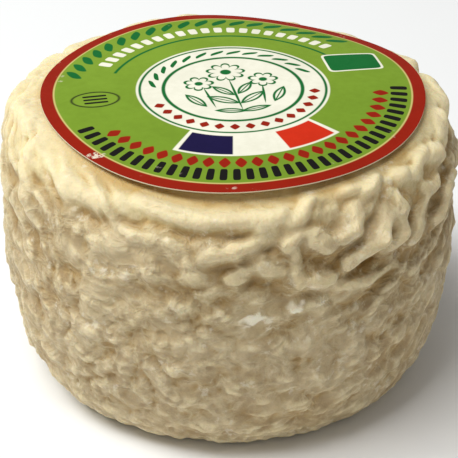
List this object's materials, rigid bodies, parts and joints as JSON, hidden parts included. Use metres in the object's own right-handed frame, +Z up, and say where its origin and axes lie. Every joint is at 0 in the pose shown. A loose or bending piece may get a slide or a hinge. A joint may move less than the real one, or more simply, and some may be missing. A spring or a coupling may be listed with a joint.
{
  "type": "crottin cheese",
  "caption": "Small drum-shaped goat's cheese with a wrinkled cream rind and a round paper label lying on its top",
  "frame": {"origin": "middle of the flat foot, on the surface the cheese stands on", "axes": "+Z up through the label; -Y is the side shown in front, +X to its right"},
  "size_m": [0.0664, 0.0668, 0.0434],
  "materials": {
    "rind": "matt",
    "label_paper": "satin"
  },
  "bodies": {
    "root": {"cheese": "rind", "label": "label_paper"}
  },
  "joints": []
}
